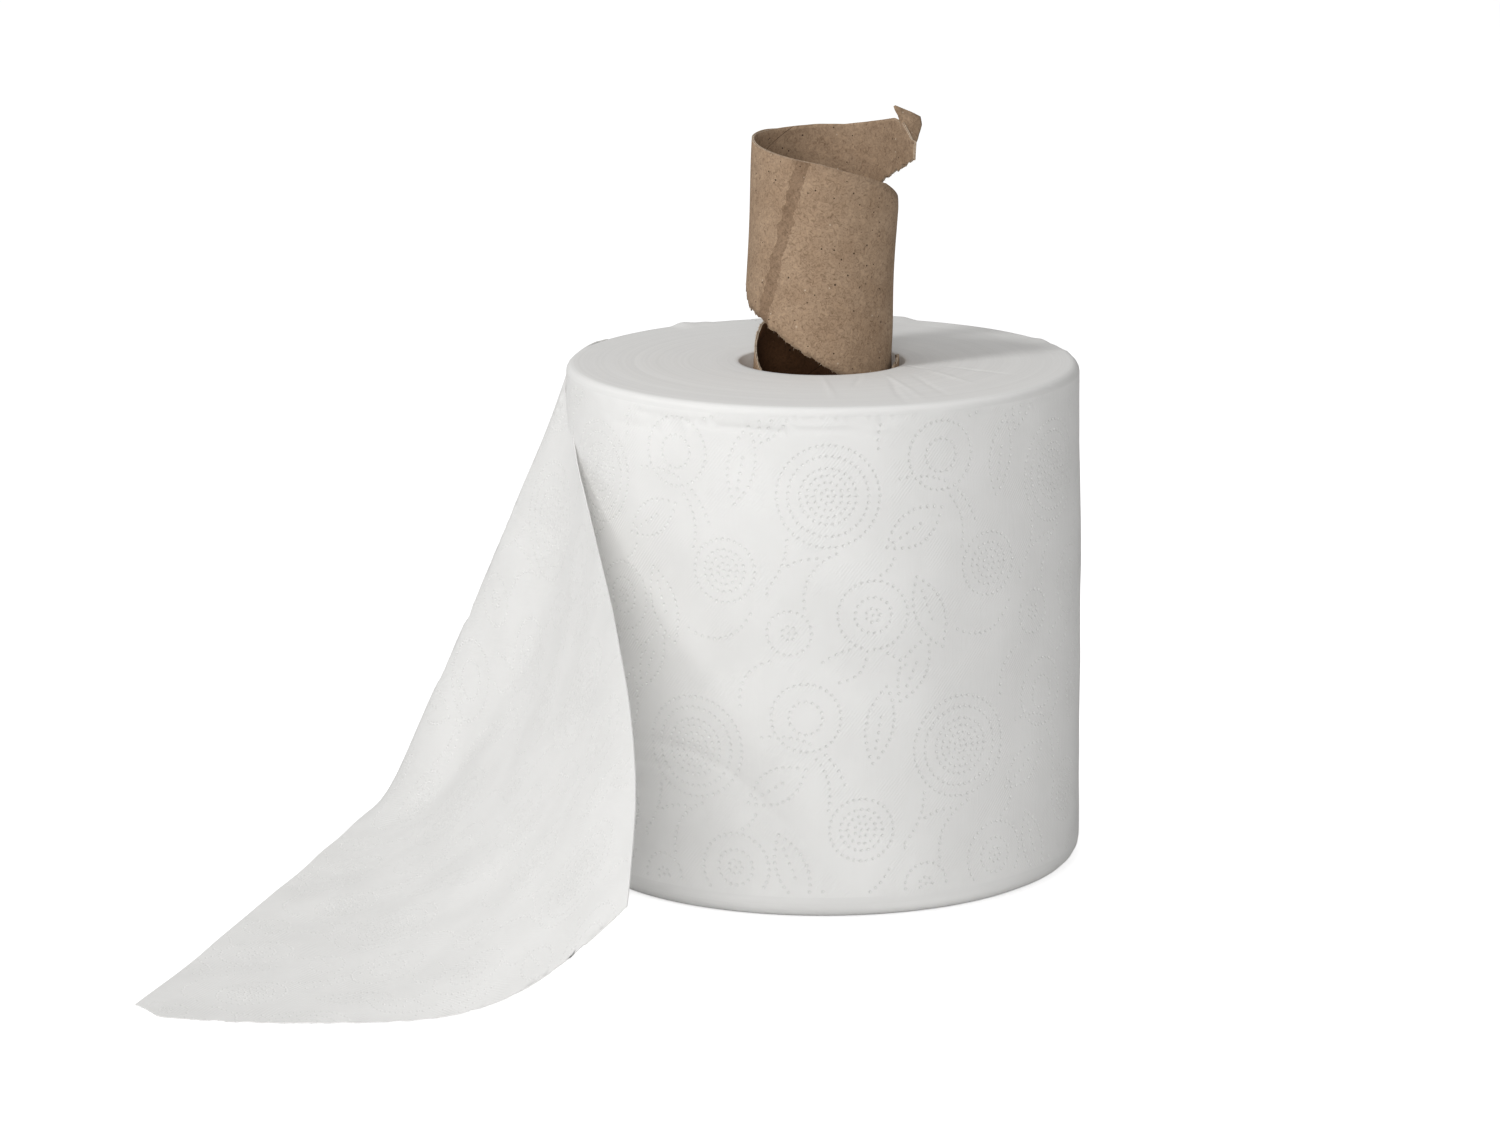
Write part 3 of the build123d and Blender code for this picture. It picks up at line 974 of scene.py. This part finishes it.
def board_strip(name, materials, inset, seed):
    """One ply of the torn strip, with its own ragged edges."""
    drop = strip_start_height - strip_gap - strip_base_height - strip_tip_height
    columns = np.arange(strip_start_angle, 360 + 360 * drop / strip_lead, strip_column_angle)
    low, high = strip_edges(columns)
    line = 0 * columns
    tear = waves(columns, line, tear_waves, seed)
    peak = smooth_step(np.abs(columns - tear_peak_angle), *tear_peak_reach)
    low = np.maximum(low + tear * (1 + tear_peak_gain * peak), strip_base_height)
    high = high + np.where(columns > torn_top_start, waves(columns, line, [torn_top_wave], seed),
                           waves(columns, line, [cut_top_wave], seed))
    share = np.linspace(0, 1, strip_rows)
    angle = np.repeat(columns, strip_rows)
    height = (low[:, None] + (high - low)[:, None] * share[None]).ravel()
    dented = waves(angle / 2, height / mm, [dents]) * smooth_step(height, *dent_heights)
    radius = strip_radius(height, angle) - inset + dented
    points = core_place(np.radians(angle), height, radius)
    piece = mesh_piece(name, points, grid_faces(len(columns), strip_rows), materials)
    set_uv(piece, "strip", np.stack([np.radians(angle) * core_free_radius, height], 1))
    thicken(piece, board_body, -1)
    return piece, points.reshape(len(columns), strip_rows, 3)


def folded_corner(materials):
    """The folded corner of the strip's upper end, bulged and worn."""
    columns, rows = 9, 15
    share = np.linspace(0, 1, rows)
    marks = np.linspace(0, 1, len(flap_left))
    left, right = [np.stack([np.interp(share, marks, np.array(side)[:, i]) for i in (0, 1)], 1)
                   for side in (flap_left, flap_right)]
    across = np.linspace(0, 1, columns)[:, None, None]
    flat = (left[None] * (1 - across) + right[None] * across).reshape(-1, 2) * mm
    flat += np.stack([ripple(*flat.T, 3 * mm, 61), ripple(*flat.T, 3 * mm, 62)], 1) * 0.12 * mm
    bulge = (np.sin(pi * np.repeat(across.ravel(), rows)) * np.tile(np.sin(pi * share), columns)) * fold_bulge
    way = heading_vector(flap_heading)
    side = heading_vector(flap_heading - 90)
    points = np.array([flap_foot[0], flap_foot[1], 0]) * mm + way * flat[:, :1] + side * bulge[:, None]
    points[:, 2] = flat[:, 1]
    points = points + np.array([core_shift + core_lean * fold_rise, 0, 0])
    piece = mesh_piece("folded_corner", points, grid_faces(columns, rows), materials)
    # Far out on the strip's map, clear of its marks
    set_uv(piece, "strip", flat + 1.0)
    thicken(piece, fold_thickness, 0)
    return piece


def fibre_tree():
    """Fibres that stand on a line: small cones of random size and turn."""
    tree = bpy.data.node_groups.new("torn_fibres", "GeometryNodeTree")
    for name, kind in fibre_inputs.items():
        tree.interface.new_socket(name, in_out="INPUT", socket_type="NodeSocket" + kind)
    tree.interface.new_socket("Fibres", in_out="OUTPUT", socket_type="NodeSocketGeometry")
    given = tree.nodes.new("NodeGroupInput").outputs
    result = tree.nodes.new("NodeGroupOutput")
    line = add_node(tree, "GeometryNodeMeshToCurve", {"Mesh": given["Line"]})
    spaced = add_node(tree, "GeometryNodeResampleCurve", {
        "Curve": line.outputs[0], "Length": given["Fibre spacing"]}, mode="LENGTH")
    fibre = add_node(tree, "GeometryNodeMeshCone", {
        "Vertices": 4, "Radius Top": 0.0,
        "Radius Bottom": given["Fibre radius"], "Depth": given["Fibre length"]})
    less = add_node(tree, "ShaderNodeMath", {0: given["Fibre spread"], 1: -1.0}, operation="MULTIPLY")
    lowest = add_node(tree, "ShaderNodeCombineXYZ", {axis: less.outputs[0] for axis in "XYZ"})
    highest = add_node(tree, "ShaderNodeCombineXYZ", {axis: given["Fibre spread"] for axis in "XYZ"})
    turn = add_node(tree, "FunctionNodeRandomValue", {
        0: lowest.outputs[0], 1: highest.outputs[0], "Seed": given["Fibre seed"]}, data_type="FLOAT_VECTOR")
    turned = add_node(tree, "ShaderNodeVectorMath", {
        0: turn.outputs[0], 1: given["Fibre way"]}, operation="ADD")
    size = add_node(tree, "FunctionNodeRandomValue", {2: 0.35, 3: 1.35, "Seed": given["Fibre seed"]})
    placed = add_node(tree, "GeometryNodeInstanceOnPoints", {
        "Points": spaced.outputs[0], "Instance": fibre.outputs["Mesh"],
        "Rotation": turned.outputs[0], "Scale": size.outputs[1]})
    whole = add_node(tree, "GeometryNodeRealizeInstances", {"Geometry": placed.outputs[0]})
    finished = add_node(tree, "GeometryNodeSetMaterial", {
        "Geometry": whole.outputs[0], "Material": given["Fibre material"]})
    tree.links.new(finished.outputs[0], result.inputs[0])
    return tree


def fibres_on(name, tree, line, values):
    """Plain mesh of the fibres on a line of points, with the tree's values in the order of its inputs."""
    mesh = bpy.data.meshes.new(name)
    mesh.from_pydata([tuple(p) for p in line], [(i, i + 1) for i in range(len(line) - 1)], [])
    piece = linked_object(name, mesh)
    step = piece.modifiers.new("fibres", "NODES")
    step.node_group = tree
    sockets = {item.name: item.identifier for item in tree.interface.items_tree if item.item_type == "SOCKET"}
    for key, value in zip(list(fibre_inputs)[1:], values):
        step[sockets[key]] = value
    made = bpy.data.meshes.new_from_object(piece.evaluated_get(bpy.context.evaluated_depsgraph_get()))
    piece.modifiers.clear()
    piece.data = made
    return piece


# Studio

def studio_floor():
    """Plain pale floor that the camera sees as white."""
    material, tree, shader = node_material("studio_floor")
    shader.inputs["Base Color"].default_value = (floor_tone, floor_tone, floor_tone, 1)
    shader.inputs["Roughness"].default_value = 1.0
    shader.inputs["Emission Color"].default_value = (1, 1, 1, 1)
    seen = add_node(tree, "ShaderNodeLightPath").outputs["Is Camera Ray"]
    tree.links.new(math_node(tree, "MULTIPLY", seen, floor_glow), shader.inputs["Emission Strength"])
    bpy.ops.mesh.primitive_plane_add(size=floor_side)
    floor = bpy.context.object
    floor.name = "studio_floor"
    floor.data.materials.append(material)


def studio_world():
    """Even light from all round, behind which the camera sees white."""
    world = bpy.data.worlds.new("studio")
    bpy.context.scene.world = world
    world.use_nodes = True
    tree = world.node_tree
    seen = add_node(tree, "ShaderNodeLightPath").outputs["Is Camera Ray"]
    strength = add_node(tree, "ShaderNodeMix", {0: seen, 2: ambient_strength, 3: 1.0})
    background = tree.nodes["Background"]
    background.inputs["Color"].default_value = (1, 1, 1, 1)
    tree.links.new(strength.outputs[0], background.inputs["Strength"])


def studio_lamps(web):
    """Light from the left, of which the web stops only a part, and soft light from the front and overhead."""
    passed = bpy.data.collections.new("passed_by_light")
    passed.objects.link(web)
    passed.collection_objects[0].light_linking.link_state = "EXCLUDE"
    for name, size, energy, place in (("key", key_size, key_energy * (1 - key_share_through_web), key_place),
                                      ("through", key_size, key_energy * key_share_through_web, key_place),
                                      ("fill", fill_size, fill_energy, fill_place),
                                      ("overhead", overhead_size, overhead_energy, overhead_place)):
        lamp = bpy.data.lights.new(name, "AREA")
        lamp.shape = "DISK"
        lamp.size = size
        lamp.energy = energy
        light = linked_object(name, lamp)
        light.location = place
        light.rotation_euler = (Vector(lamp_aim) - light.location).to_track_quat("-Z", "Y").to_euler()
        if name == "through":
            light.light_linking.blocker_collection = passed


def studio_camera():
    """Long lens from the front, a little above the roll."""
    view = bpy.data.cameras.new("camera")
    view.lens = camera_lens
    view.sensor_width = sensor_width
    view.shift_x = camera_shift
    camera = linked_object("camera", view)
    camera.location = camera_place
    camera.rotation_euler = (radians(90 - camera_pitch), 0, 0)
    bpy.context.scene.camera = camera


paper = paper_material("embossed_paper", 0.07 * mm)
loose_paper = paper_material("loose_paper", 0.05 * mm)
edge_paper = wound_edge_material()
torn = torn_material()
# Marks of the board: place along the strip, height, slope, width and tone
stripe = (radians(236) * core_free_radius, 234.5 * mm, radians(28) * core_free_radius / (55 * mm), 5.4 * mm,
          (0.74, 0.71, 0.69))
seam = (radians(126) * core_free_radius, 269.2 * mm, -1 / 0.57, 0.5 * mm, (0.35, 0.33, 0.3))
board = board_material("core_board", stripe)
# The inside ply's board, with painted shade on its lower turns
inner_board = board_material("core_board_inside", seam, inside_painted_shade)

own_piece(wound_roll(paper, edge_paper), "paper_roll")
loose = loose_turn(loose_paper)
own_piece(loose, "paper_roll")
outer_ply, outer_points = board_strip("core_outer_ply", [board, torn], 0.0, 21)
inner_ply, inner_points = board_strip("core_inner_ply", [inner_board, torn], board_ply, 31)
own_piece(outer_ply, "cardboard_core")
own_piece(inner_ply, "cardboard_core")
own_piece(folded_corner([board, torn]), "cardboard_core")

fibres = fibre_tree()
seam_part = slice(0, strip_column(seam_end_angle))
low_line = (outer_points[seam_part, 0] + inner_points[seam_part, 0]) / 2
gap_part = slice(*[strip_column(angle) for angle in gap_angles])
high_line = (outer_points[gap_part, -1] + inner_points[gap_part, -1]) / 2
cut_across = np.linspace(12 * mm, roll_height - 4 * mm, 90)
cut_line = soft_web_point(np.full_like(cut_across, web_length), cut_across)
cut_line[:, 2] += web_thickness / 2
cut_way = (pi / 2, 0.0, radians(lay_heading + 90))
# Spacing, length, radius, spread, way, seed and material of each line of fibres
for name, line, values, slot, node in (
        ("seam_fibres", low_line, (0.8 * mm, 1.1 * mm, 0.09 * mm, 1.0, (pi, 0.0, 0.0), 4, torn),
         "cardboard", "cardboard_core"),
        ("gap_fibres", high_line, (0.8 * mm, 1.0 * mm, 0.09 * mm, 1.0, (0.0, 0.0, 0.0), 9, torn),
         "cardboard", "cardboard_core"),
        ("cut_end_fibres", cut_line, (1.6 * mm, 0.9 * mm, 0.2 * mm, 0.5, cut_way, 6, loose_paper),
         "paper", "paper_roll")):
    own_piece(fibres_on(name, fibres, line, values), node)
bpy.context.scene.view_settings.view_transform = "Standard"
studio_floor()
studio_world()
studio_lamps(loose)
studio_camera()
